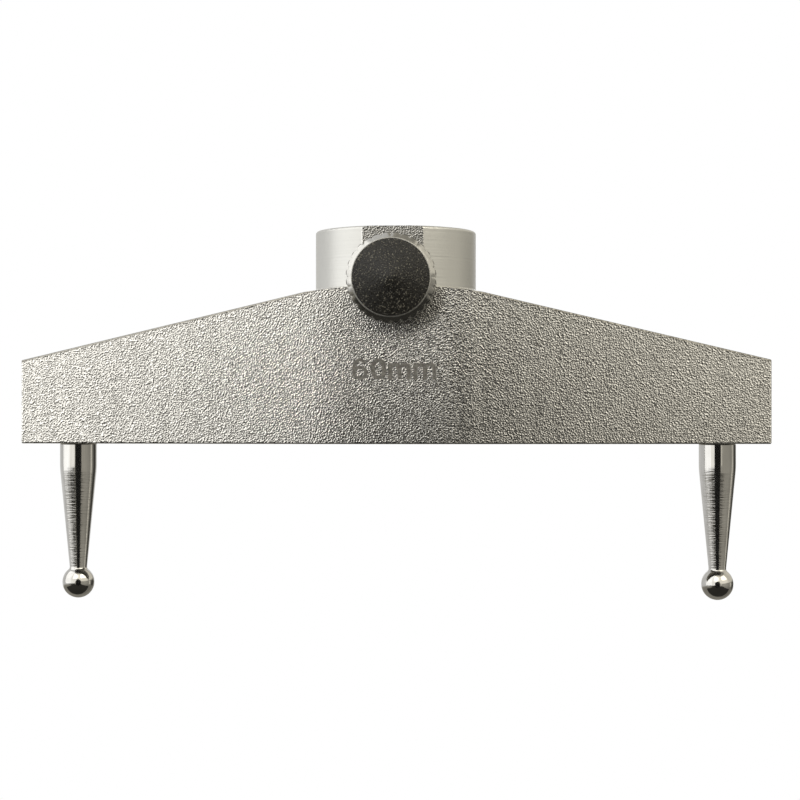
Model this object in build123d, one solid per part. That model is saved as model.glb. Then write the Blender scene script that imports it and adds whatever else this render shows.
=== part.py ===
from build123d import *
import os
from math import atan2, cos, radians, sin, tan

# Measuring bridge of a radius gauge, 60 mm span. Millimetres and degrees.
# +X runs along the bridge, -Y is the front with the thumb screw, +Z is up.
# The origin is where the axis of the stem bore meets the axis of the thumb screw.

# Span, contact balls and contact pins
span = 60.0
ball_dia = 3.0
ball_drop = 14.65
pin_dia = 3.45
pin_straight = 2.4
pin_neck_dia = 1.64
pin_top_chamfer = 0.12
stub_dia = 2.0
stub_length = 6.0
stub_chamfer = 0.2
drill_clearance = 0.4

# Bridge body: two sloping wings on a thicker middle
end_margin = 4.27
hub_height = 13.9
end_height = 7.65
hub_thickness = 13.95
end_thickness = 10.0
pad_width = 11.2
pad_blend = 46.0
edge_round = 0.15

# Turned collar that takes the indicator's stem
stem_bore_dia = 8.0
collar_dia = 15.0
collar_height = 5.83
collar_root = 1.5
collar_edge_round = 0.25
bore_chamfer = 0.4
relief_rise = 0.42
relief_angle = 10.5
relief_reach = 3.6

# Thumb screw with its knurled head, and the hole that it runs in
screw_above_foot = 0.9
thread_dia = 2.9
screw_hole_dia = 3.0
screw_hole_chamfer = 0.25
head_gap = 1.1
head_dia = 8.0
head_length = 3.3
lobe_count = 28
lobe_radius = 0.5
head_back_bevel = 0.35
head_front_bevel = 0.45
head_front_dia = 6.95

# Black end cap of the screw
cap_dia = 6.85
cap_edge = 0.12
cap_cone = 1.05
cap_tip_radius = 1.2
cap_spigot_dia = 3.0
cap_spigot_length = 1.6

# Brass clamp tip that turns freely in the end of the screw
tip_clearance = 0.1
tip_dia = 2.3
tip_thickness = 0.8
tip_chamfer = 0.15
tip_end_play = 0.03
tip_spigot_dia = 1.2
tip_spigot_length = 1.2
tip_running_clearance = 0.05
tip_hole_spare = 0.15

# Heights worked out from the sizes above
foot_z = -screw_above_foot
underside_z = foot_z - hub_height
end_top_z = underside_z + end_height
collar_top_z = foot_z + collar_height
ball_centre_z = underside_z - ball_drop + ball_dia / 2
collar_radius = collar_dia / 2
bore_radius = stem_bore_dia / 2
half_length = span / 2 + end_margin
wing_slope = (foot_z - end_top_z) / (half_length - collar_radius)
ridge_z = foot_z + wing_slope * collar_radius

# Places along the screw's axis, as distances from the bore's axis towards the front
front_face = hub_thickness / 2
tip_face = bore_radius + tip_clearance
tip_back = tip_face + tip_thickness
screw_end = tip_back + tip_end_play
head_back = front_face + head_gap
head_front = head_back + head_length
knurl_front = head_front - head_front_bevel
cap_base = head_front
cap_shoulder = cap_base + cap_edge


def along_screw(profile):
    """Revolve a half profile drawn as (distance along the screw, radius) about the screw's axis."""
    points = [(-distance, radius) for distance, radius in profile]
    face = make_face(Plane.YZ * Polyline(points, close=True))
    return revolve(face, Axis.Y)


def upright(profile, x=0.0):
    """Revolve a half profile drawn as (radius, height) about the vertical line at x."""
    face = make_face(Plane.XZ * Polyline(profile, close=True))
    return Pos(x, 0, 0) * revolve(face, Axis.Z)


def front_outline():
    """The bridge seen from the front, as a solid much deeper than the plate."""
    outline = Polyline(
        (-half_length, underside_z),
        (half_length, underside_z),
        (half_length, end_top_z),
        (0, ridge_z),
        (-half_length, end_top_z),
        close=True,
    )
    return extrude(Plane.XZ * make_face(outline), hub_thickness, both=True)


def plan_outline():
    """The bridge seen from above: a parallel pad in the middle and tapering wings."""
    half_pad, half_hub, half_end = pad_width / 2, hub_thickness / 2, end_thickness / 2
    outline = Polyline(
        (half_length, -half_end),
        (half_length, half_end),
        (half_pad, half_hub),
        (-half_pad, half_hub),
        (-half_length, half_end),
        (-half_length, -half_end),
        (-half_pad, -half_hub),
        (half_pad, -half_hub),
        close=True,
    )
    face = make_face(outline)
    pad_corners = face.vertices().filter_by(lambda v: abs(v.X) < half_length / 2)
    face = fillet(pad_corners, pad_blend)
    depth = 2 * hub_height
    return Pos(0, 0, underside_z - depth / 4) * extrude(face, depth)


def softened(plate):
    """Round every sharp edge of the plate. The ridge is left, because the collar covers it."""
    def is_sharp(edge):
        middle = edge.center()
        is_ridge = abs(middle.X) < 1e-6 and middle.Z > foot_z
        is_end = abs(middle.X) > half_length - 1e-6
        is_long = middle.Z < underside_z + 1e-6 or abs(edge.tangent_at(0.5).X) > 0.5
        return (is_end or is_long) and not is_ridge
    return fillet(plate.edges().filter_by(is_sharp), edge_round)


def collar():
    """The turned collar, cut flat where the plate's own front and back faces come up."""
    root_z = foot_z - collar_root
    turned = Pos(0, 0, (root_z + collar_top_z) / 2) * Cylinder(
        collar_radius, collar_top_z - root_z
    )
    top = turned.edges().sort_by(Axis.Z)[-1]
    turned = fillet(top, collar_edge_round)
    slab = Box(collar_dia, hub_thickness, 4 * hub_height)
    return turned & slab


def foot_relief():
    """What the turning tool takes away round the collar's foot, above a shallow cone."""
    start_z = foot_z + relief_rise
    reach = collar_radius + relief_reach
    end_z = start_z - relief_reach * tan(radians(relief_angle))
    return upright([
        (collar_radius, start_z),
        (reach, end_z),
        (reach, collar_top_z),
        (collar_radius, collar_top_z),
    ])


def stem_bore():
    """The bore for the stem, right through, with a chamfer at both mouths."""
    mouth = bore_radius + bore_chamfer
    return upright([
        (0, underside_z),
        (mouth, underside_z),
        (bore_radius, underside_z + bore_chamfer),
        (bore_radius, collar_top_z - bore_chamfer),
        (mouth, collar_top_z),
        (0, collar_top_z),
    ])


def screw_hole():
    """The cross hole for the thumb screw, from the front face into the bore."""
    radius = screw_hole_dia / 2
    mouth = radius + screw_hole_chamfer
    return along_screw([
        (0, 0),
        (0, radius),
        (front_face - screw_hole_chamfer, radius),
        (front_face, mouth),
        (front_face, 0),
    ])


def pin_hole(x):
    """The blind hole in the underside that a contact pin's stub is pressed into."""
    depth = stub_length + drill_clearance
    return Pos(x, 0, underside_z + depth / 2) * Cylinder(stub_dia / 2, depth)


def bridge_body():
    plate = softened(front_outline() & plan_outline())
    body = (plate - foot_relief()) + collar()
    body -= stem_bore()
    body -= screw_hole()
    for side in (-1, 1):
        body -= pin_hole(side * span / 2)
    return body


def contact_ball(x):
    return Pos(x, 0, ball_centre_z) * Sphere(ball_dia / 2)


def contact_pin(x):
    """A tapered pin with a stub above the shoulder and a cupped seat for the ball below."""
    stub, shoulder, neck = stub_dia / 2, pin_dia / 2, pin_neck_dia / 2
    top_z = underside_z + stub_length
    pin = upright([
        (0, top_z),
        (stub - stub_chamfer, top_z),
        (stub, top_z - stub_chamfer),
        (stub, underside_z),
        (shoulder - pin_top_chamfer, underside_z),
        (shoulder, underside_z - pin_top_chamfer),
        (shoulder, underside_z - pin_straight),
        (neck, ball_centre_z + ball_dia / 2),
        (neck, ball_centre_z),
        (0, ball_centre_z),
    ], x)
    return pin - contact_ball(x)


def knurled_rim():
    """The head's lobed rim, one rounded lobe after another round the screw's axis."""
    pitch_radius = head_dia / 2 - lobe_radius
    lobes = Plane.XZ * (
        Circle(pitch_radius) + PolarLocations(pitch_radius, lobe_count) * Circle(lobe_radius)
    )
    return Pos(0, -head_back, 0) * extrude(lobes, head_length)


def thumb_screw():
    """The head between its two bevels, the shank, and the holes for the tip and the cap."""
    rim, front = head_dia / 2, head_front_dia / 2
    shank = thread_dia / 2
    envelope = along_screw([
        (head_back, 0),
        (head_back, rim - head_back_bevel),
        (head_back + head_back_bevel, rim),
        (knurl_front, rim),
        (head_front, front),
        (head_front, 0),
    ])
    stem = along_screw([
        (screw_end, 0),
        (screw_end, shank - tip_chamfer),
        (screw_end + tip_chamfer, shank),
        (head_back, shank),
        (head_back, 0),
    ])
    tip_hole_depth = tip_spigot_length + tip_end_play + tip_hole_spare
    tip_hole_radius = tip_spigot_dia / 2 + tip_running_clearance
    tip_hole = along_screw([
        (screw_end, 0),
        (screw_end, tip_hole_radius),
        (screw_end + tip_hole_depth, tip_hole_radius),
        (screw_end + tip_hole_depth, 0),
    ])
    cap_hole = along_screw([
        (head_front - cap_spigot_length, 0),
        (head_front - cap_spigot_length, cap_spigot_dia / 2),
        (head_front, cap_spigot_dia / 2),
        (head_front, 0),
    ])
    return (knurled_rim() & envelope) + stem - tip_hole - cap_hole


def screw_cap():
    """A shallow cone with a rounded point, on a spigot in the screw's head."""
    radius, spigot = cap_dia / 2, cap_spigot_dia / 2
    slope = atan2(cap_cone, radius)
    tangent_radius = cap_tip_radius * sin(slope)
    tangent = cap_shoulder + cap_cone * (1 - tangent_radius / radius)
    crown_centre = tangent - cap_tip_radius * cos(slope)
    half_turn = slope / 2
    outline = Polyline(
        (-tangent, tangent_radius),
        (-cap_shoulder, radius),
        (-cap_base, radius),
        (-cap_base, spigot),
        (-cap_base + cap_spigot_length, spigot),
        (-cap_base + cap_spigot_length, 0),
        (-crown_centre - cap_tip_radius, 0),
    )
    crown = ThreePointArc(
        outline @ 0,
        (-crown_centre - cap_tip_radius * cos(half_turn), cap_tip_radius * sin(half_turn)),
        outline @ 1,
    )
    face = make_face(Plane.YZ * (outline + crown))
    return revolve(face, Axis.Y)


def clamp_tip():
    """A flanged brass button with a spigot that turns in the end of the screw."""
    flange, spigot = tip_dia / 2, tip_spigot_dia / 2
    return along_screw([
        (tip_face, 0),
        (tip_face, flange - tip_chamfer),
        (tip_face + tip_chamfer, flange),
        (tip_back, flange),
        (tip_back, spigot),
        (tip_back + tip_spigot_length, spigot),
        (tip_back + tip_spigot_length, 0),
    ])


nodes = {
    "bridge_body": bridge_body(),
    "thumb_screw": thumb_screw(),
    "screw_cap": screw_cap(),
    "clamp_tip": clamp_tip(),
}
for side_name, side in (("left", -1), ("right", 1)):
    nodes[f"contact_pin_{side_name}"] = contact_pin(side * span / 2)
    nodes[f"contact_ball_{side_name}"] = contact_ball(side * span / 2)

os.makedirs("parts", exist_ok=True)
for name, shape in nodes.items():
    export_step(shape, f"parts/{name}.step")
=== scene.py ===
# %% [markdown]
# # Measuring bridge of a radius gauge
# This notebook dresses a measuring bridge: a blasted metal bar with two sloping wings, a turned
# collar that takes the stem of an indicator, a knurled thumb screw with a black cap, and two
# polished pins with ball tips 60 mm apart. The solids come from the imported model, and they fix
# every size. What is made here is what the eye sees: finishes, the thread, the knurl with its
# rounded edges, the polished pins and the marked span.

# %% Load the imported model
import math

import bmesh
import bpy
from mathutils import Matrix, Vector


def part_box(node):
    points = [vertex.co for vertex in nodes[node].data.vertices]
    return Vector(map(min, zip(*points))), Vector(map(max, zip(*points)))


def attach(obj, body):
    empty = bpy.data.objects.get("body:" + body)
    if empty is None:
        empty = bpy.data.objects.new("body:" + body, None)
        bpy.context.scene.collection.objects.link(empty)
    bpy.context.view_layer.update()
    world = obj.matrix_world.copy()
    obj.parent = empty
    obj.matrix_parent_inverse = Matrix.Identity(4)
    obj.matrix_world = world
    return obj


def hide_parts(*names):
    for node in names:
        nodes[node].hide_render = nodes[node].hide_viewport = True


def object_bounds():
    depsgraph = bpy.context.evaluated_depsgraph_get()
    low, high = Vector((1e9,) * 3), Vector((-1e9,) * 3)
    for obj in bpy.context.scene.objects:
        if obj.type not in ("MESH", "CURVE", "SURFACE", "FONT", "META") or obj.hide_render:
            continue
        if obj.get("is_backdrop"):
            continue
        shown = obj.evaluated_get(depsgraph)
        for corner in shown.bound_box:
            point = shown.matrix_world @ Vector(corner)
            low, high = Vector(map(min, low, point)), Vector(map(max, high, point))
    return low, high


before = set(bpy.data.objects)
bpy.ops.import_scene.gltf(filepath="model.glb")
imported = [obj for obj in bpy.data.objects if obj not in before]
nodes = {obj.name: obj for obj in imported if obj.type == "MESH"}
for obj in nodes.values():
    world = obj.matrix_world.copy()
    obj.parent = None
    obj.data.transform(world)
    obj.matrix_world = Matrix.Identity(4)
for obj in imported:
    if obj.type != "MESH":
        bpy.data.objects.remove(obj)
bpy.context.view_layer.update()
print("nodes:", sorted(nodes))

# %% [markdown]
# ## Sizes read from the model
# Everything that is added has to sit on the real part, so its place is read from the solids.
# Blender works in metres here, and the part is 68 mm long, so MM keeps the small numbers
# readable. The screw lies along Y: its head is in front, at the lowest Y.

# %% Sizes
MM = 0.001
QUARTER_TURN = math.radians(90)
body_low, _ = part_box("bridge_body")
screw_low, screw_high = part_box("thumb_screw")
ball_low, ball_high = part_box("contact_ball_right")
pin_low, pin_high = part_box("contact_pin_right")

underside_z = body_low.z
front_y = body_low.y
ball_radius = (ball_high.z - ball_low.z) / 2
ball_z = (ball_high.z + ball_low.z) / 2
half_span = (ball_high.x + ball_low.x) / 2
pin_radius = (pin_high.x - pin_low.x) / 2
head_radius = (screw_high.x - screw_low.x) / 2
head_front_y = screw_low.y
screw_end_y = screw_high.y
print("span", round(2 * half_span / MM, 3), "mm, front face at", round(front_y / MM, 3))
print("screw from", round(head_front_y / MM, 3), "to", round(screw_end_y / MM, 3))

# %% [markdown]
# ## The camera
# The photograph was taken from close by, level with the middle of the bar and a little to the
# right of it: the ends of the bar look a touch smaller than its middle, and the screw's head
# has shifted to the left against the face behind it. A long lens would lose that, so the
# camera stands at its real distance.

# %% Camera
CAMERA_PLACE = (7.1 * MM, -178.0 * MM, -11.05 * MM)
CAMERA_YAW = math.radians(2.16)
CAMERA_PITCH = math.radians(0.08)
CAMERA_LENS = 85.4
CAMERA_SENSOR = 36
CLIP_NEAR, CLIP_FAR = 10 * MM, 10

bpy.ops.object.camera_add(
    location=CAMERA_PLACE,
    rotation=(QUARTER_TURN + CAMERA_PITCH, 0, CAMERA_YAW),
)
camera = bpy.context.object
camera.data.lens = CAMERA_LENS
camera.data.sensor_width = CAMERA_SENSOR
camera.data.clip_start = CLIP_NEAR
camera.data.clip_end = CLIP_FAR
bpy.context.scene.camera = camera
print("camera", round(-CAMERA_PLACE[1] / MM), "mm in front of the bore's axis")

# %% [markdown]
# ## Shader sums that read like sums
# A procedural finish is arithmetic on coordinates and noise. This small class wraps a socket,
# so that `1 - mask` or `line * 0.3 + grain` adds the Math nodes by itself.

# %% The wire class
class Wire:
    """One output socket of a node tree."""

    def __init__(self, tree, socket):
        self.tree = tree
        self.socket = socket

    def node(self, kind, settings=None, inputs=None, output=0):
        """Add a node: its settings first, then values or links of its sockets."""
        made = self.tree.nodes.new(kind)
        for key, value in (settings or {}).items():
            setattr(made, key, value)
        for key, value in (inputs or {}).items():
            plug(self.tree, value, made.inputs[key])
        return Wire(self.tree, made.outputs[output])

    def math(self, operation, *values):
        """A Math node with these values or wires as its inputs."""
        return self.node("ShaderNodeMath", {"operation": operation}, dict(enumerate(values)))

    def __add__(self, other):
        return self.math("ADD", self, other)

    def __sub__(self, other):
        return self.math("SUBTRACT", self, other)

    def __rsub__(self, other):
        return self.math("SUBTRACT", other, self)

    def __mul__(self, other):
        return self.math("MULTIPLY", self, other)

    def __abs__(self):
        return self.math("ABSOLUTE", self)

    def larger(self, other):
        return self.math("MAXIMUM", self, other)

    def root(self):
        return self.math("SQRT", self)

    def smooth(self, low, high, to_low=0.0, to_high=1.0):
        """A soft step: to_low below low and to_high above high."""
        return self.node(
            "ShaderNodeMapRange",
            {"interpolation_type": "SMOOTHSTEP"},
            {0: self, 1: low, 2: high, 3: to_low, 4: to_high},
        )

    def below(self, full, none):
        """1 up to full, fading to 0 at none."""
        return self.smooth(full, none, 1.0, 0.0)

    def between(self, low_none, low_full, high_full, high_none):
        """1 from low_full to high_full, fading to 0 on both sides."""
        return self.smooth(low_none, low_full) * self.below(high_full, high_none)

    def mix(self, low, high):
        """Mix two colours by this factor."""
        return self.node(
            "ShaderNodeMix",
            {"data_type": "RGBA"},
            {"Factor": self, 6: low, 7: high},
            output=2,
        )

    def stretched(self, x, y, z):
        """The same coordinates, stretched along each axis."""
        return self.node("ShaderNodeMapping", None, {"Vector": self, "Scale": (x, y, z)})

    def noise(self, scale, detail=2.0, roughness=0.5):
        """A soft random pattern; scale is in spots per metre."""
        return self.node(
            "ShaderNodeTexNoise",
            {"noise_dimensions": "3D"},
            {"Vector": self, "Scale": scale, "Detail": detail, "Roughness": roughness},
        )

    def noise_with(self, other, detail):
        """A soft random pattern over two numbers, such as a height and a radius."""
        pair = self.node("ShaderNodeCombineXYZ", None, {0: self, 1: other})
        return self.node(
            "ShaderNodeTexNoise",
            {"noise_dimensions": "2D"},
            {"Vector": pair, "Scale": 1.0, "Detail": detail},
        )

    def dents(self, scale, softness, disorder):
        """Round dents side by side: 0 in the middle of each, rising to the rims between them."""
        return self.node(
            "ShaderNodeTexVoronoi",
            {"feature": "SMOOTH_F1", "voronoi_dimensions": "3D"},
            {"Vector": self, "Scale": scale, "Smoothness": softness, "Randomness": disorder},
        )

    def split(self):
        """The x, y and z of a vector, as three wires."""
        parts = self.node("ShaderNodeSeparateXYZ", None, {0: self}).socket.node
        return [Wire(self.tree, output) for output in parts.outputs]

    def bump(self, distance):
        """A normal from this height; distance is the height of 1, in metres."""
        return self.node(
            "ShaderNodeBump", None, {"Strength": 1.0, "Distance": distance, "Height": self})


def plug(tree, value, socket):
    """Link a wire to a socket, or set a plain value on it."""
    if isinstance(value, Wire):
        tree.links.new(value.socket, socket)
    elif isinstance(value, tuple) and len(value) == 3 and socket.type == "RGBA":
        socket.default_value = (*value, 1.0)
    else:
        socket.default_value = value


class Finish:
    """A new material: its shader's sockets, and a wire that carries Object coordinates."""

    def __init__(self, name, metallic=1.0):
        self.material = bpy.data.materials.new(name)
        self.material.use_nodes = True
        self.tree = self.material.node_tree
        self.shader = self.tree.nodes["Principled BSDF"]
        self.shader.inputs["Metallic"].default_value = metallic
        coordinates = self.tree.nodes.new("ShaderNodeTexCoord")
        self.place = Wire(self.tree, coordinates.outputs["Object"])

    def feed(self, **values):
        """Feed sockets by their names, with _ for a space."""
        for key, value in values.items():
            plug(self.tree, value, self.shader.inputs[key.replace("_", " ")])


def wear(finish, *node_names):
    """Put a finish on CAD nodes in place of the plain one."""
    for node_name in node_names:
        materials = nodes[node_name].data.materials
        materials.clear()
        materials.append(finish.material)


# %% [markdown]
# ## The blasted bar
# The bar is shot-blasted and satin plated: small dents side by side, each with a bright lip and
# a dark hollow. They could be displaced geometry, but the bar would need millions of faces, so
# the dents are a bump made of soft round cells, and the colour paints their lips paler and their
# hollows darker, as painted light and shade. Seen from the camera a dent is hardly wider than a
# pixel, so a still finer speckle in the colour paints glints between light and dark. Its pitch
# is chosen so that the flat front lies halfway between two layers of the noise, where the
# noise is strongest.
#
# The collar was turned after the blasting, so it is smooth and bright, apart from the two flats
# where the bar's own faces come up, whose relief is a little flatter. The small rounding along
# the sloping roof is painted darker. One material does it all, and tells the areas apart by
# place.

# %% Where the bar is turned, and where it is rounded
COLLAR_RADIUS = 7.5 * MM
COLLAR_FOOT_Z = -0.50 * MM
PAD_HALF = 5.6 * MM
END_HALF_THICKNESS = 5.0 * MM
HALF_LENGTH = 34.27 * MM
ROOF_TOP_Z = -0.9 * MM
ROOF_DROP = 6.25 * MM
ROOF_SLOPE = ROOF_DROP / (HALF_LENGTH - COLLAR_RADIUS)
RIDGE_Z = ROOF_TOP_Z + ROOF_SLOPE * COLLAR_RADIUS
WING_TAPER = (-front_y - END_HALF_THICKNESS) / (HALF_LENGTH - PAD_HALF)
ROUNDING_STARTS, ROUNDING_FULL = -0.26 * MM, -0.12 * MM
TURNED_ENDS, TURNED_FADES = 0.06 * MM, 0.04 * MM
FLAT_ENDS, FLAT_FADES = 0.01 * MM, 0.02 * MM
FOOT_STARTS, FOOT_FULL = -0.05 * MM, 0.02 * MM
FLAT_STARTS, FLAT_FULL = 0.1 * MM, 0.9 * MM


def turned_mask(place):
    """1 on the turned collar, 0 on the blasted faces."""
    x, y, z = place.split()
    radius = (x * x + y * y).root()
    edge, flat = COLLAR_RADIUS + TURNED_ENDS, -front_y - FLAT_ENDS
    on_collar = radius.below(edge - TURNED_FADES, edge)
    off_flat = abs(y).below(flat - FLAT_FADES, flat)
    above = z.smooth(COLLAR_FOOT_Z + FOOT_STARTS, COLLAR_FOOT_Z + FOOT_FULL)
    return on_collar * off_flat * above


def roof_edge_mask(place):
    """1 on the small rounding where the two faces meet the sloping roof."""
    x, y, z = place.split()
    over_roof = z + abs(x) * ROOF_SLOPE - RIDGE_Z
    over_face = abs(y) + (abs(x) - PAD_HALF).larger(0.0) * WING_TAPER + front_y
    near_roof = over_roof.smooth(ROUNDING_STARTS, ROUNDING_FULL)
    return near_roof * over_face.smooth(ROUNDING_STARTS, ROUNDING_FULL)


print("roof falls", round(math.degrees(math.atan(ROOF_SLOPE)), 1), "degrees,",
      "wings taper", round(math.degrees(math.atan(WING_TAPER)), 1), "degrees")

# %% The bar's finish
GRAIN_PITCH = 0.15 * MM
GRAIN_DEPTH = 0.027 * MM
GRAIN_SOFTNESS, GRAIN_DISORDER = 0.25, 0.9
SPARKLES_TO_FRONT = 66.5
SPARKLE_PITCH = -front_y / SPARKLES_TO_FRONT
TOOL_MARKS_PER_METRE = 5500
TOOL_MARK_RELIEF = 0.30
FLAT_RELIEF_LOSS = 0.35
FLAT_COLOUR_LOSS, FLAT_COLOUR = 0.6, 0.3
# Ends of the bar's colour: the dark end is painted shade in the hollows, the pale end is painted
# light on lips and glints, with a little real stain between.
BLAST_DARK, BLAST_PALE = (0.25, 0.243, 0.226), (1.0, 0.985, 0.94)
TURNED_COLOUR = (0.56, 0.555, 0.525)
ROOF_EDGE_DARK = (0.26, 0.25, 0.225)


def make_blasted_finish():
    """Dents, and speckle painted as glints, on the bar; faint tool marks on the turned collar.
    """
    finish = Finish("blasted_steel")
    place = finish.place
    x, y, z = place.split()
    radius = (x * x + y * y).root()
    turned = turned_mask(place)
    blasted = 1 - turned
    on_flat = z.smooth(COLLAR_FOOT_Z + FLAT_STARTS, COLLAR_FOOT_Z + FLAT_FULL)
    roof_edge = roof_edge_mask(place) * (1 - on_flat)
    grain = place.dents(1 / GRAIN_PITCH, GRAIN_SOFTNESS, GRAIN_DISORDER)
    sparkle = place.noise(1 / SPARKLE_PITCH, detail=0.0)
    stain = place.noise(260, detail=3.0)
    tool_marks = (z * TOOL_MARKS_PER_METRE).noise_with(radius * TOOL_MARKS_PER_METRE, 3.0)
    relief = blasted * grain * (1 - on_flat * FLAT_RELIEF_LOSS)
    height = relief + turned * tool_marks * TOOL_MARK_RELIEF
    # Painted light and shade: the dents' lips and the fine speckle of glints are painted paler,
    # their hollows darker.
    lip_and_glint_light = grain.smooth(0.15, 0.60) * 0.35 + sparkle.smooth(0.30, 0.62) * 0.65
    lip_and_glint_light = lip_and_glint_light * (1 - on_flat * FLAT_COLOUR_LOSS) + on_flat * FLAT_COLOUR
    blasted_colour = (lip_and_glint_light * 0.9 + stain * 0.1).mix(BLAST_DARK, BLAST_PALE)
    # The rounding along the roof is painted darker.
    blasted_colour = roof_edge.mix(blasted_colour, ROOF_EDGE_DARK)
    finish.feed(
        Base_Color=turned.mix(blasted_colour, TURNED_COLOUR),
        Roughness=blasted * (0.24 - lip_and_glint_light * 0.04) + turned * (stain * 0.1 + 0.36),
        Normal=height.bump(GRAIN_DEPTH),
    )
    return finish


wear(make_blasted_finish(), "bridge_body")

# %% [markdown]
# ## Polished, knurled, black and brass
# The other finishes are smoother, so what makes them real is small: on the pins the lay of the
# polishing cloth, and rings from the turning that are left on the taper. The balls have faint
# clouds that bend what they mirror. The knurled head is satin, with painted shade on the outer
# rims of its lobes and in the hollows between them, and a matte edge round the cap. The cap is
# black with pale specks painted in as glints, and the tip is turned brass.

# %% Polished finishes
PIN_STRAIGHT = 2.4 * MM
TAPER_FADE = 0.5 * MM
PIN_COLOURS = (0.44, 0.43, 0.405), (0.56, 0.55, 0.525)
PIN_RELIEF = 0.013 * MM
BALL_COLOURS = (0.46, 0.45, 0.425), (0.56, 0.55, 0.52)
BALL_RELIEF = 0.012 * MM
taper_z = underside_z - PIN_STRAIGHT


def make_pin_finish():
    """Ground and polished along the pin, with the turning marks left on its taper."""
    finish = Finish("polished_pin")
    place = finish.place
    on_taper = place.split()[2].below(taper_z - TAPER_FADE, taper_z)
    marks = place.stretched(0.10, 0.10, 1).noise(9500, detail=2.0)
    lay = place.stretched(1, 1, 0.02).noise(9000, detail=4.0, roughness=0.6)
    cloud = place.stretched(1, 1, 0.4).noise(900, detail=3.0)
    finish.feed(
        Base_Color=(lay * 0.5 + cloud * 0.5).smooth(0.3, 0.7).mix(*PIN_COLOURS),
        Roughness=cloud * 0.05 + lay * 0.04 + 0.03 + on_taper * 0.04,
        Normal=(lay * 0.2 + cloud * 0.13 + marks * on_taper).bump(PIN_RELIEF),
    )
    return finish


def make_ball_finish():
    """Lapped, with faint clouds that bend the reflections a little."""
    finish = Finish("polished_ball")
    cloud = finish.place.noise(1500, detail=3.0)
    scratches = finish.place.stretched(1, 0.3, 0.06).noise(12000, detail=2.0)
    finish.feed(
        Base_Color=cloud.smooth(0.3, 0.7).mix(*BALL_COLOURS),
        Roughness=scratches * 0.06 + 0.07,
        Normal=(cloud + scratches * 0.15).bump(BALL_RELIEF),
    )
    return finish


polished_pin = make_pin_finish()
polished_ball = make_ball_finish()
wear(polished_pin, "contact_pin_left", "contact_pin_right")
wear(polished_ball, "contact_ball_left", "contact_ball_right")
print("taper starts at", round(taper_z / MM, 2), "mm")

# %% Finishes of the screw
CAP_EDGE_RADIUS, CAP_EDGE_FADE = 3.51 * MM, 0.03 * MM
# Depths under the head's rim: the painted light on the lobes rises over the first pair, the
# painted shade on their outer rims over the second.
LIP_LIGHT_DEPTHS, RIM_SHADE_DEPTHS = (0.24 * MM, 0.06 * MM), (0.10 * MM, 0.04 * MM)
KNURL_RINGS, KNURL_STRIPES = 16000, 9000
KNURL_COLOURS = (0.10, 0.095, 0.085), (0.56, 0.55, 0.515)
KNURL_RELIEF = 0.006 * MM
CAP_COLOURS = (0.002, 0.0018, 0.0013), (0.010, 0.009, 0.006)
# The colour of the pale specks painted on the cap as glints.
CAP_GLINT_COLOUR = (0.11, 0.102, 0.08)
CAP_RELIEF = 0.08 * MM
CAP_SPECULAR = 0.34
BRASS_COLOURS = (0.66, 0.47, 0.20), (0.82, 0.64, 0.34)
BRASS_RINGS_PER_METRE = 42000
BRASS_RELIEF = 0.01 * MM


def make_knurl_finish():
    """Satin steel, with painted shade on the lobes' rims and in their hollows, a matte cap edge.
    """
    finish = Finish("knurled_steel")
    x, y, z = finish.place.split()
    radius = (x * x + z * z).root()
    lip = radius.smooth(*(head_radius - depth for depth in LIP_LIGHT_DEPTHS))
    rim = radius.smooth(*(head_radius - depth for depth in RIM_SHADE_DEPTHS))
    cap_edge = radius.below(CAP_EDGE_RADIUS, CAP_EDGE_RADIUS + CAP_EDGE_FADE)
    rings = (radius * KNURL_RINGS).noise_with(y * KNURL_STRIPES, 2.0)
    cloud = finish.place.noise(2200, detail=3.0)
    # Painted light and shade: the lobes paler than the hollows between them, and their outer
    # rims painted dark.
    pale = (lip * 0.1 + cloud * 0.4 + 0.6) * (1 - rim * 0.85)
    finish.feed(
        Base_Color=pale.mix(*KNURL_COLOURS),
        Roughness=cloud * 0.12 + 0.12 - lip * 0.03 + cap_edge * 0.4,
        Normal=(rings * 0.5 + cloud).bump(KNURL_RELIEF),
    )
    return finish


def make_cap_finish():
    """Moulded or blackened, matte, with pale specks painted in as glints."""
    finish = Finish("black_cap", metallic=0.0)
    skin = finish.place.noise(6500, detail=3.0, roughness=0.7)
    # The specks are painted glints: pale spots in the colour.
    specks = finish.place.noise(7400, detail=1.0).smooth(0.60, 0.68)
    cloud = finish.place.noise(700, detail=2.0)
    finish.feed(
        Base_Color=specks.mix(cloud.mix(*CAP_COLOURS), CAP_GLINT_COLOUR),
        Roughness=skin * 0.16 + 0.20,
        Normal=(skin + specks * 0.3).bump(CAP_RELIEF),
        Specular_IOR_Level=CAP_SPECULAR,
    )
    return finish


def make_brass_finish():
    """Turned brass, with rings round the screw's axis."""
    finish = Finish("brass_tip")
    x, y, z = finish.place.split()
    radius = (x * x + z * z).root() * BRASS_RINGS_PER_METRE
    rings = radius.math("SINE", radius)
    cloud = finish.place.noise(1800, detail=3.0)
    finish.feed(
        Base_Color=cloud.mix(*BRASS_COLOURS),
        Roughness=cloud * 0.15 + 0.18,
        Normal=(rings * 0.1 + cloud * 0.5).bump(BRASS_RELIEF),
    )
    return finish


knurled_steel = make_knurl_finish()
wear(knurled_steel, "thumb_screw")
wear(make_cap_finish(), "screw_cap")
wear(make_brass_finish(), "clamp_tip")
print("finishes:", [material.name for material in bpy.data.materials if material.users])

# %% [markdown]
# ## Helpers for modelling
# New pieces start from a primitive at its real size and place. In edit mode, points and edges
# are chosen in code, by where they are, and the operators then move, scale, extrude or bevel
# what is chosen, as by hand.

# %% Modelling helpers
MERGE_DISTANCE = 0.0005 * MM


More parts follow.
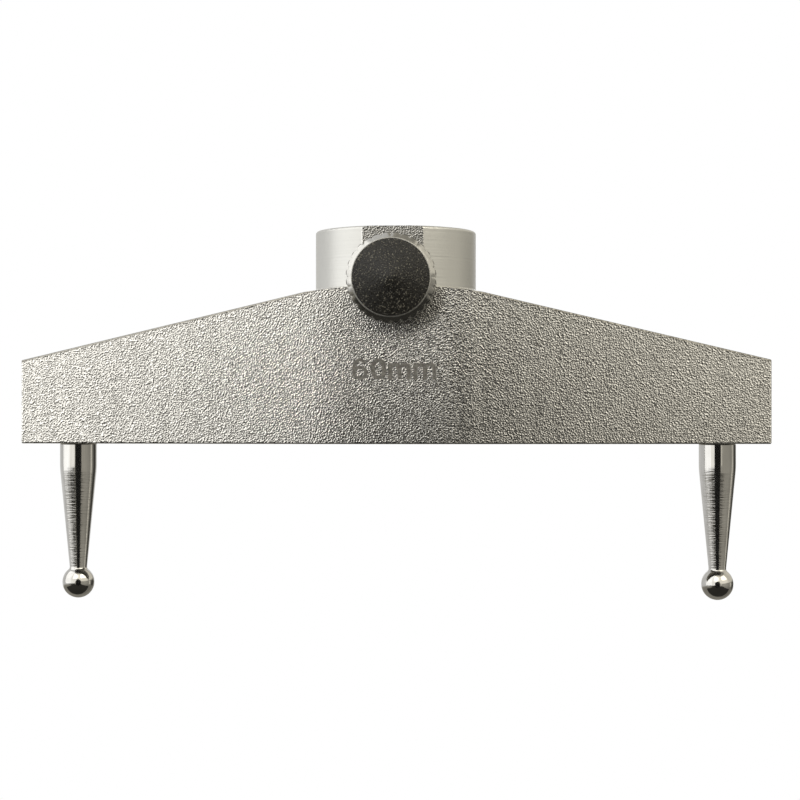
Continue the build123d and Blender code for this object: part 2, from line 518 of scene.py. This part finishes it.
def start_clean():
    """Leave edit mode, and deselect everything."""
    if bpy.context.object and bpy.context.object.mode != "OBJECT":
        bpy.ops.object.mode_set(mode="OBJECT")
    bpy.ops.object.select_all(action="DESELECT")


def choose(test, kind="VERT"):
    """Select the points or edges of the edited mesh whose middle passes the test."""
    mesh = bpy.context.object.data
    bpy.ops.mesh.select_mode(type=kind)
    bpy.ops.mesh.select_all(action="DESELECT")
    shape = bmesh.from_edit_mesh(mesh)
    count = 0
    for element in shape.verts if kind == "VERT" else shape.edges:
        if kind == "VERT":
            middle = element.co
        else:
            middle = (element.verts[0].co + element.verts[1].co) / 2
        if test(middle, element):
            element.select_set(True)
            count += 1
    shape.select_flush_mode()
    bmesh.update_edit_mesh(mesh)
    return count


def start_ring(name, count, radius, centre, across="Z"):
    """A ring of points round a vertical axis, or round the screw's axis, in edit mode."""
    start_clean()
    turn = (0, 0, 0) if across == "Z" else (QUARTER_TURN, 0, 0)
    bpy.ops.mesh.primitive_circle_add(
        vertices=count, radius=radius, fill_type="NGON", location=centre, rotation=turn)
    ring = bpy.context.object
    ring.name = name
    ring.data.name = name
    bpy.ops.object.transform_apply(location=True, rotation=True, scale=True)
    bpy.ops.object.mode_set(mode="EDIT")
    bpy.ops.mesh.select_all(action="SELECT")
    return ring


def extrude_ring(step, scale, centre, across="Z"):
    """Extrude the chosen ring by a step along its axis, and scale it about the axis."""
    move = (0, 0, step) if across == "Z" else (0, step, 0)
    size = (scale, scale, 1) if across == "Z" else (scale, 1, scale)
    bpy.ops.mesh.extrude_region_move(TRANSFORM_OT_translate={"value": move})
    bpy.ops.transform.resize(value=size, center_override=centre)


def turn_on_lathe(name, count, x, stops, across="Z"):
    """Turn (place along the axis, radius) stops about the axis at x, closed at both ends."""
    def on_axis(place):
        return (x, 0, place) if across == "Z" else (x, place, 0)

    place, radius = stops[0]
    piece = start_ring(name, count, radius, on_axis(place), across)
    for next_place, next_radius in stops[1:]:
        extrude_ring(next_place - place, next_radius / radius, on_axis(next_place), across)
        place, radius = next_place, next_radius
    return piece


def close_piece(piece, finish, body, angle):
    """Merge, turn the faces outwards, shade, and let the piece ride on its body."""
    if piece.mode != "EDIT":
        start_clean()
        piece.select_set(True)
        bpy.context.view_layer.objects.active = piece
        bpy.ops.object.mode_set(mode="EDIT")
    bpy.ops.mesh.select_all(action="SELECT")
    bpy.ops.mesh.remove_doubles(threshold=MERGE_DISTANCE)
    bpy.ops.mesh.normals_make_consistent(inside=False)
    bpy.ops.object.mode_set(mode="OBJECT")
    bpy.ops.object.shade_smooth_by_angle(angle=math.radians(angle))
    piece.data.materials.clear()
    piece.data.materials.append(finish.material)
    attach(piece, body)
    print(piece.name, "has", len(piece.data.polygons), "faces")


# %% [markdown]
# ## The knurled head
# The head is a short cylinder with 28 rounded lobes pressed into its rim, and a cone turned on
# its front and back afterwards, so every lobe runs out on the cone as a little half-moon.
# It starts as one ring of points, is extruded along the screw, and then every twelfth column of
# points is scaled inwards by the same amount: twelve small moves shape all the lobes at once.

# %% The head
LOBES = 28
STEPS_PER_LOBE = 12
LOBE_RADIUS = 0.5 * MM
BACK_BEVEL = 0.35 * MM
FRONT_BEVEL = 0.45 * MM
FRONT_RADIUS = 3.475 * MM
HEAD_LENGTH = 3.3 * MM
CAP_HOLE_RADIUS = 1.55 * MM
CAP_HOLE_DEPTH = 1.65 * MM
RIM_DEPTH, RIM_RISE = 0.26 * MM, 0.12 * MM
RIM_ROUNDING = 0.03 * MM
NEAR = 0.01 * MM

head_back_y = head_front_y + HEAD_LENGTH
pitch_radius = head_radius - LOBE_RADIUS
front_slope = FRONT_BEVEL / (head_radius - FRONT_RADIUS)


def lobe_reach(phase):
    """The rim's radius at a step of a lobe; phase 0 is the hollow between two lobes."""
    turn = (phase / STEPS_PER_LOBE - 0.5) * 2 * math.pi / LOBES
    aside = pitch_radius * math.sin(turn)
    return pitch_radius * math.cos(turn) + math.sqrt(LOBE_RADIUS ** 2 - aside ** 2)


def column_phase(point):
    """Which of the twelve columns of a lobe a point of the rim belongs to."""
    turn = math.atan2(point.x, -point.z) / (2 * math.pi) * LOBES * STEPS_PER_LOBE
    return round(turn) % STEPS_PER_LOBE


back_corner_y = head_back_y - BACK_BEVEL
front_corner_y = head_front_y + FRONT_BEVEL
head = turn_on_lathe(
    "knurled_head", LOBES * STEPS_PER_LOBE, 0,
    [
        (head_back_y, head_radius - BACK_BEVEL),
        (back_corner_y, head_radius),
        (front_corner_y, head_radius),
        (head_front_y, FRONT_RADIUS),
        (head_front_y, CAP_HOLE_RADIUS),
        (head_front_y + CAP_HOLE_DEPTH, CAP_HOLE_RADIUS),
    ],
    across="Y",
)
for phase in range(STEPS_PER_LOBE):
    reach = lobe_reach(phase)
    scale = reach / head_radius
    drop = head_radius - reach
    for corner_y, slide in ((back_corner_y, drop), (front_corner_y, -drop * front_slope)):
        choose(lambda point, _: abs(point.y - corner_y) < NEAR
               and abs(math.hypot(point.x, point.z) - head_radius) < NEAR
               and column_phase(point) == phase)
        bpy.ops.transform.resize(value=(scale, 1, scale), center_override=(0, corner_y, 0))
        bpy.ops.transform.translate(value=(0, slide, 0))
rim_edges = choose(
    lambda middle, edge: math.hypot(middle.x, middle.z) > head_radius - RIM_DEPTH
    and abs(edge.verts[0].co.y - edge.verts[1].co.y) < RIM_RISE,
    "EDGE",
)
bpy.ops.mesh.bevel(offset=RIM_ROUNDING, segments=2, affect="EDGES", clamp_overlap=True)
close_piece(head, knurled_steel, "screw", angle=40)
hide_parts("thumb_screw")
print("rounded", rim_edges, "edges of the knurl")

# %% [markdown]
# ## The threaded shank
# The screw has a fine thread of 0.5 mm pitch. The solid has a plain shank, because a helix is
# heavy for a simulation, but the gap behind the head shows it, and so does the screw when it is
# unscrewed. The core is turned as a plain shape. The ridge is one small triangle that the Screw
# modifier winds round the axis, and it stays inside the hole's 3 mm.

# %% The shank and its thread
THREAD_RADIUS = 1.44 * MM
THREAD_ROOT = 1.16 * MM
THREAD_PITCH = 0.5 * MM
THREAD_TURNS = 5
TIP_HOLE_RADIUS = 0.65 * MM
TIP_HOLE_DEPTH = 1.38 * MM
UNDERCUT = 0.28 * MM
UNDERCUT_DEPTH, UNDERCUT_BEVEL = 0.05 * MM, 0.06 * MM
END_BEVEL, END_STEP = 0.12 * MM, 0.06 * MM
SEAT_SWELL, SEAT_BURIED = 0.02 * MM, 0.1 * MM
SHANK_POINTS, WINDING_STEPS = 64, 40
RIDGE_BURIED, RIDGE_START = 0.03 * MM, 0.02 * MM
RIDGE_SIZE, RIDGE_WIDTH = 0.2 * MM, THREAD_PITCH * 0.9

shank = turn_on_lathe(
    "threaded_shank", SHANK_POINTS, 0,
    [
        (screw_end_y - TIP_HOLE_DEPTH, TIP_HOLE_RADIUS),
        (screw_end_y, TIP_HOLE_RADIUS),
        (screw_end_y, THREAD_ROOT - END_STEP),
        (screw_end_y - END_BEVEL, THREAD_ROOT),
        (head_back_y + UNDERCUT, THREAD_ROOT),
        (head_back_y + UNDERCUT - UNDERCUT_BEVEL, THREAD_ROOT - UNDERCUT_DEPTH),
        (head_back_y + UNDERCUT_BEVEL, THREAD_ROOT - UNDERCUT_DEPTH),
        (head_back_y, THREAD_ROOT + SEAT_SWELL),
        (head_back_y - SEAT_BURIED, THREAD_ROOT + SEAT_SWELL),
    ],
    across="Y",
)
close_piece(shank, knurled_steel, "screw", angle=30)

start_clean()
thread_start_y = head_back_y + UNDERCUT + RIDGE_START
bpy.ops.mesh.primitive_circle_add(
    vertices=3, radius=RIDGE_SIZE, fill_type="NOTHING", location=(0, thread_start_y, 0))
thread = bpy.context.object
thread.name = "screw_thread"
bpy.ops.object.transform_apply(location=True, rotation=True, scale=True)
corners = [
    (THREAD_ROOT - RIDGE_BURIED, thread_start_y),
    (THREAD_RADIUS, thread_start_y + RIDGE_WIDTH / 2),
    (THREAD_ROOT - RIDGE_BURIED, thread_start_y + RIDGE_WIDTH),
]
for point, (radius, y) in zip(thread.data.vertices, corners):
    point.co = (0, y, radius)
winding = thread.modifiers.new("winding", "SCREW")
winding.axis = "Y"
winding.screw_offset = THREAD_PITCH
winding.iterations = THREAD_TURNS
winding.steps = winding.render_steps = WINDING_STEPS
winding.use_merge_vertices = True
winding.merge_threshold = MERGE_DISTANCE
bpy.ops.object.modifier_apply(modifier="winding")
bpy.ops.object.mode_set(mode="EDIT")
choose(lambda middle, edge: edge.is_boundary, "EDGE")
bpy.ops.mesh.fill()
close_piece(thread, knurled_steel, "screw", angle=30)
thread_low = min(point.co.y for point in thread.data.vertices)
thread_high = max(point.co.y for point in thread.data.vertices)
print("thread from", round(thread_low / MM, 2), "to", round(thread_high / MM, 2), "mm")

# %% [markdown]
# ## The contact pins
# Each pin is pressed into the bar, runs straight for a little, and tapers to a neck that is
# brazed to its ball. Seen close, three things tell it from a plain cone: a thin groove where it
# meets the bar, a soft blend where the taper starts, and the small fillet of braze round the
# neck. The pin is turned on the lathe helper, from the bar down to the ball.

# %% The pins
PIN_NECK = 0.82 * MM
PIN_BURIED = 0.6 * MM
STUB_RADIUS = 0.98 * MM
GROOVE = 0.05 * MM
BLEND_LENGTH = 0.9 * MM
BLEND_STEPS = 4
PIN_POINTS = 96
# In mm: the drop below the bar and the inset, then the rise over the seat and the swell.
SHOULDER = [(0.05, 0.14), (0.10, 0.05), (0.18, 0.0)]
BRAZE = [(0.10, 0.0), (0.03, 0.02), (-0.02, 0.06), (-0.08, 0.11), (-0.20, 0.0)]

neck_z = ball_z + ball_radius
taper = (pin_radius - PIN_NECK) / (taper_z - neck_z)
blend = []
for step in range(BLEND_STEPS + 1):
    along = step / BLEND_STEPS
    z = taper_z + BLEND_LENGTH * (0.5 - along)
    blend.append((z, pin_radius - taper * BLEND_LENGTH * along * along / 2))
seat_z = ball_z + math.sqrt(ball_radius ** 2 - PIN_NECK ** 2)
pin_stops = [
    (underside_z + PIN_BURIED, STUB_RADIUS),
    (underside_z - GROOVE, STUB_RADIUS),
    *((underside_z - drop * MM, pin_radius - inset * MM) for drop, inset in SHOULDER),
    *blend,
    (neck_z, PIN_NECK),
    *((seat_z + rise * MM, PIN_NECK + swell * MM) for rise, swell in BRAZE),
]
for side_name, side in (("left", -1), ("right", 1)):
    pin = turn_on_lathe(f"tapered_pin_{side_name}", PIN_POINTS, side * half_span, pin_stops)
    close_piece(pin, polished_pin, "bridge", angle=25)
    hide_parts(f"contact_pin_{side_name}")
print("pins taper", round(math.degrees(math.atan(taper)), 1), "degrees a side")

# %% [markdown]
# ## The marked span
# The span is etched into the front face: slim letters, smoother and darker than the grain round
# them. The nought and the letters are text objects turned into meshes. The font's six has a
# straight back, and the marking's six has a round one, so that digit is drawn with a pen: an
# oval bowl and an open oval over it, joined. Each sign is fitted to its own place on the face,
# and is as thin as a coat of ink.

# %% The marking
MARK_DEPTH = 0.012 * MM
MARK_SHIFT = MARK_DEPTH * 0.25
MARK_BASE_Z = -8.96 * MM
DIGIT_TOP_Z = -7.05 * MM
LETTER_TOP_Z = -7.45 * MM
MARK_STROKE = 0.018
MARK_COLOURS = (0.17, 0.164, 0.148), (0.26, 0.25, 0.228)
MARK_RELIEF = 0.03 * MM
PEN_WIDTH = 0.102
OVAL_POINTS = 72
HALF_DEPTH, BACK_HALF_DEPTH = 0.5, 0.49
# Ovals before they are fitted: centre, radii, first and last angle in degrees.
SIX_BACK = (0.215, 0.345), (0.165, 0.300), 38, 192
SIX_BOWL = (0.215, 0.215), (0.165, 0.175), 0, 360
# Sign, left edge, right edge and top on the front face.
signs = [
    ("6", -3.67 * MM, -2.26 * MM, DIGIT_TOP_Z),
    ("0", -2.00 * MM, -0.58 * MM, DIGIT_TOP_Z),
    ("m", -0.40 * MM, 1.62 * MM, LETTER_TOP_Z),
    ("m", 1.86 * MM, 3.95 * MM, LETTER_TOP_Z),
]


def make_mark_finish():
    """Etched metal: darker, and only faintly grained."""
    finish = Finish("etched_mark")
    grain = finish.place.noise(1 / GRAIN_PITCH, detail=1.5)
    finish.feed(
        Base_Color=grain.smooth(0.35, 0.65).mix(*MARK_COLOURS),
        Roughness=grain * 0.1 + 0.5,
        Normal=grain.bump(MARK_RELIEF),
    )
    return finish


def draw_oval(centre, radii, first, last, half_depth):
    """A pen stroke along an oval, kept between two angles, as a solid."""
    start_clean()
    bpy.ops.mesh.primitive_circle_add(
        vertices=OVAL_POINTS, radius=1.0, fill_type="NOTHING", location=(*centre, -half_depth))
    oval = bpy.context.object
    oval.scale = (*radii, 1)
    bpy.ops.object.transform_apply(location=True, rotation=True, scale=True)
    bpy.ops.object.mode_set(mode="EDIT")

    def is_off(at, _):
        angle = math.atan2((at.y - centre[1]) / radii[1], (at.x - centre[0]) / radii[0])
        return not first - 0.5 <= math.degrees(angle) % 360 <= last

    if choose(is_off):
        bpy.ops.mesh.delete(type="VERT")
    bpy.ops.mesh.select_all(action="SELECT")
    bpy.ops.mesh.extrude_region_move(TRANSFORM_OT_translate={"value": (0, 0, 2 * half_depth)})
    bpy.ops.object.mode_set(mode="OBJECT")
    pen = oval.modifiers.new("pen", "SOLIDIFY")
    pen.thickness = PEN_WIDTH
    pen.offset = 0.0
    bpy.ops.object.modifier_apply(modifier="pen")
    return oval


def draw_six():
    """The digit six: its bowl, and the round back that rises over it, a hair thinner."""
    back = draw_oval(*SIX_BACK, BACK_HALF_DEPTH)
    bowl = draw_oval(*SIX_BOWL, HALF_DEPTH)
    joined = bowl.modifiers.new("joined", "BOOLEAN")
    joined.operation = "UNION"
    joined.object = back
    bpy.ops.object.modifier_apply(modifier="joined")
    bpy.data.objects.remove(back)
    return bowl


def draw_text(sign):
    """A sign of the font, a little bolder, as a solid."""
    start_clean()
    bpy.ops.object.text_add(location=(0, 0, 0))
    bpy.context.object.data.body = sign
    bpy.context.object.data.offset = MARK_STROKE
    bpy.context.object.data.extrude = HALF_DEPTH
    bpy.ops.object.convert(target="MESH")
    return bpy.context.object


def add_sign(sign, number, left, right, top):
    """One sign, as a thin mesh on the front face between left and right."""
    letter = draw_six() if sign == "6" else draw_text(sign)
    letter.name = f"span_mark_{number}"
    points = letter.data.vertices
    low_x, high_x = min(p.co.x for p in points), max(p.co.x for p in points)
    low_y, high_y = min(p.co.y for p in points), max(p.co.y for p in points)
    wide, tall = (right - left) / (high_x - low_x), (top - MARK_BASE_Z) / (high_y - low_y)
    letter.scale = (wide, tall, MARK_DEPTH)
    letter.rotation_euler = (QUARTER_TURN, 0, 0)
    letter.location = (left - low_x * wide, front_y - MARK_SHIFT, MARK_BASE_Z - low_y * tall)
    bpy.ops.object.transform_apply(location=True, rotation=True, scale=True)
    return letter


letters = [add_sign(sign, number, *place) for number, (sign, *place) in enumerate(signs)]
start_clean()
for letter in letters:
    letter.select_set(True)
bpy.context.view_layer.objects.active = letters[0]
bpy.ops.object.join()
marking = bpy.context.object
marking.name = "span_mark"
close_piece(marking, make_mark_finish(), "bridge", angle=30)
mark_front_y = min(point.co.y for point in marking.data.vertices)
print("marking stands", round((front_y - mark_front_y) / MM, 3), "mm proud of the face")

# %% [markdown]
# ## Light
# The polished balls and pins mirror the whole studio, so it can be read off them: a large white
# softbox on the left, something dark close round the lens, a bright card on the right, and a
# white backdrop behind. The softbox is an area lamp. The dark thing is a black card at the
# camera, and it is hidden from the camera, so that it isn't in the way of other views.

# %% The softbox and the black card
SOFTBOX_AZIMUTH, SOFTBOX_ELEVATION = math.radians(54), math.radians(28)
SOFTBOX_DISTANCE, SOFTBOX_AIM_Z = 1.2, -12 * MM
SOFTBOX_WIDTH, SOFTBOX_HEIGHT = 2.40, 1.75
SOFTBOX_RADIANCE = 1.04
CARD_RADIUS, CARD_NARROWING = 86 * MM, 0.86
CARD_DROP, CARD_BEHIND = 22 * MM, 8 * MM
CARD_CORNERS = 6
VELVET_COLOURS = (0.006, 0.006, 0.006), (0.012, 0.012, 0.012)

softbox_level = SOFTBOX_DISTANCE * math.cos(SOFTBOX_ELEVATION)
bpy.ops.object.light_add(type="AREA", location=(
    -softbox_level * math.sin(SOFTBOX_AZIMUTH),
    -softbox_level * math.cos(SOFTBOX_AZIMUTH),
    SOFTBOX_DISTANCE * math.sin(SOFTBOX_ELEVATION) + SOFTBOX_AIM_Z,
))
softbox = bpy.context.object
softbox.name = "left_softbox"
softbox.rotation_euler = (QUARTER_TURN - SOFTBOX_ELEVATION, 0, -SOFTBOX_AZIMUTH)
softbox.visible_camera = False
softbox.data.shape = "RECTANGLE"
softbox.data.size = SOFTBOX_WIDTH
softbox.data.size_y = SOFTBOX_HEIGHT
softbox.data.energy = SOFTBOX_RADIANCE * math.pi * SOFTBOX_WIDTH * SOFTBOX_HEIGHT

start_clean()
bpy.ops.mesh.primitive_circle_add(
    vertices=CARD_CORNERS, radius=CARD_RADIUS, fill_type="NGON", rotation=(QUARTER_TURN, 0, 0),
    location=(CAMERA_PLACE[0], CAMERA_PLACE[1] - CARD_BEHIND, CAMERA_PLACE[2] - CARD_DROP))
card = bpy.context.object
card.name = "black_card"
card.scale.x = CARD_NARROWING
card.visible_camera = False
bpy.ops.object.transform_apply(location=True, rotation=True, scale=True)
velvet = Finish("black_velvet", metallic=0.0)
velvet.feed(
    Base_Color=velvet.place.noise(300).mix(*VELVET_COLOURS),
    Roughness=velvet.place.noise(900) * 0.1 + 0.85,
)
card.data.materials.append(velvet.material)
card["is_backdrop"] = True
print("softbox", round(softbox.data.energy, 1), "W")
print("card", round(card.dimensions.x / MM), "by", round(card.dimensions.z / MM), "mm")

# %% [markdown]
# ## The room
# The rest of the studio is the world, whose brightness is worked out from the direction.
# Azimuth is counted from the front, and left is positive. A patch is a rectangle of
# directions, and its four numbers along each side are in degrees: where the edge starts and
# ends on the low side, and where it starts and ends on the high side. The part mirrors all of
# this, but the camera sees plain white behind it.

# %% The patches of the room
world = bpy.data.worlds.new("studio")
bpy.context.scene.world = world
world.use_nodes = True
tree = world.node_tree
rays = tree.nodes.new("ShaderNodeLightPath")
camera_ray = Wire(tree, rays.outputs["Is Camera Ray"])
direction = Wire(tree, tree.nodes.new("ShaderNodeTexCoord").outputs["Generated"])
to_right, to_back, up = direction.split()
DEGREES = 180 / math.pi
to_left, to_front = to_right * -1, to_back * -1
azimuth = to_left.math("ARCTAN2", to_left, to_front) * DEGREES
elevation = up.math("ARCSINE", up) * DEGREES
TO_ZENITH, FROM_NADIR = (91, 92), (-92, -91)


def patch(azimuths, elevations):
    """1 inside a rectangle of directions, with a soft edge on each side."""
    return azimuth.between(*azimuths) * elevation.between(*elevations)


left_glow = patch((42, 50, 140, 165), (-16, -10, *TO_ZENITH))
right_card = patch((-165, -140, -16, -6), (3, 9, 50, 65))
top_card = patch((-85, -70, -34, -20), (20, 32, 50, 62))
front_card = patch((-30, -18, 30, 42), (18, 26, 55, 68))
window = patch((-23, -22, -17, -16), (-5, -3, 2, 6))
far_window = patch((-104, -102, -95, -93), (-16, -12, 2, 6))
far_dark = patch((-150, -142, -120, -112), (-20, -14, 1, 4))
front_shadow = patch((12, 18, 42, 50), (*FROM_NADIR, -7, -4))
left_shadow = patch((42, 50, 60, 68), (-15, -12, -7, -5))
backdrop = abs(azimuth).smooth(146, 160) * elevation.between(-14, -6, 30, 50)
low_sides = elevation.smooth(-20, -6, 0.7, 1.0)
far_fall = azimuth.smooth(-95, -60, 0.42, 0.0)
not_behind = azimuth.smooth(-150, -130)

# %% The dark table, and the world put together
TABLE_SPREAD, TABLE_REACH, TABLE_EDGE = 2.2, 0.2, 0.06
ROOM_GREY, DARK_GREY, SIDE_GLOW, BACKDROP = 0.48, 0.04, 0.88, 1.0
RIGHT_CARD, TOP_CARD, FRONT_CARD = 1.33, 3.2, 1.6
FAR_DARKNESS, FAR_FALL_SHARE = 0.8, 0.5
FRONT_SHADE, LEFT_SHADE = 0.9, 0.75
ROOM_TINT, WHITE = (1.0, 0.955, 0.84), (1.0, 1.0, 1.0)

down = up * -1
dark_table = (abs(to_right) - down * TABLE_SPREAD).below(-TABLE_EDGE, TABLE_EDGE)
dark_table = dark_table * (to_back - down * TABLE_REACH).below(-TABLE_EDGE, TABLE_EDGE)
dark_table = dark_table * elevation.below(-14, -9)

studio = (left_glow * (SIDE_GLOW - ROOM_GREY) + ROOM_GREY) * low_sides
studio = studio * (1 - far_dark * FAR_DARKNESS)
studio = studio * (1 - far_fall * not_behind * FAR_FALL_SHARE)
studio = studio.larger(right_card * (RIGHT_CARD - far_fall)).larger(top_card * TOP_CARD)
studio = studio.larger(front_card * FRONT_CARD)
studio = studio.larger(window.larger(far_window))
studio = studio.larger(backdrop * BACKDROP)
shade = front_shadow.larger(left_shadow * LEFT_SHADE) * FRONT_SHADE
dark = dark_table.larger(shade)
studio = studio * (1 - dark) + dark * DARK_GREY
tint = camera_ray.larger(left_glow.larger(backdrop)).mix(ROOM_TINT, WHITE)
background = tree.nodes["Background"]
plug(tree, studio.larger(camera_ray), background.inputs["Strength"])
plug(tree, tint, background.inputs["Color"])
print("the world is worked out by", len(tree.nodes), "shader nodes")

# %% [markdown]
# ## The floor
# A pale floor far below the part. Near the part it is lit paint, so it keeps the part's soft
# shadow. Further out it fades to plain white, which the camera sees as the white background.
# It isn't mirrored in the part, because the world already says what lies below.

# %% Floor
FLOOR_Z = -95 * MM
FLOOR_SIZE = 6
FADE_FROM, FADE_TO = 90 * MM, 210 * MM
NEAR_GLOW, FAR_GLOW = 0.45, 1.0
PAINT_COLOURS = (0.86, 0.86, 0.86), (0.90, 0.90, 0.90)
PAINT_ROUGHNESS = 0.9

start_clean()
bpy.ops.mesh.primitive_plane_add(size=FLOOR_SIZE, location=(0, 0, FLOOR_Z))
floor = bpy.context.object
floor.name = "floor"
floor.visible_glossy = False
bpy.ops.object.transform_apply(location=True, rotation=True, scale=True)
paint = Finish("floor_paint", metallic=0.0)
paint.feed(
    Base_Color=paint.place.noise(400).mix(*PAINT_COLOURS),
    Roughness=PAINT_ROUGHNESS,
)
x, y, _ = paint.place.split()
far = (x * x + y * y).root().smooth(FADE_FROM, FADE_TO, NEAR_GLOW, FAR_GLOW)
glow = paint.place.node("ShaderNodeEmission", None, {"Strength": 1.0})
eye = Wire(paint.tree, paint.tree.nodes.new("ShaderNodeLightPath").outputs["Is Camera Ray"])
lit = Wire(paint.tree, paint.shader.outputs[0])
surface = lit.node("ShaderNodeMixShader", None, {0: eye * far, 1: lit, 2: glow})
plug(paint.tree, surface, paint.tree.nodes["Material Output"].inputs["Surface"])
floor.data.materials.append(paint.material)
floor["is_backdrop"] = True
print("floor", round((ball_low.z - FLOOR_Z) / MM, 1), "mm below the balls")

# %% [markdown]
# ## Look and close
# The colours are shown as they are, and the script prints the size of the dressed part.

# %% Close
bpy.context.scene.view_settings.view_transform = "Standard"
visual_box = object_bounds()
sizes = [round((high - low) / MM, 2) for low, high in zip(*visual_box)]
print("dressed part", " x ".join(str(size) for size in sizes), "mm")
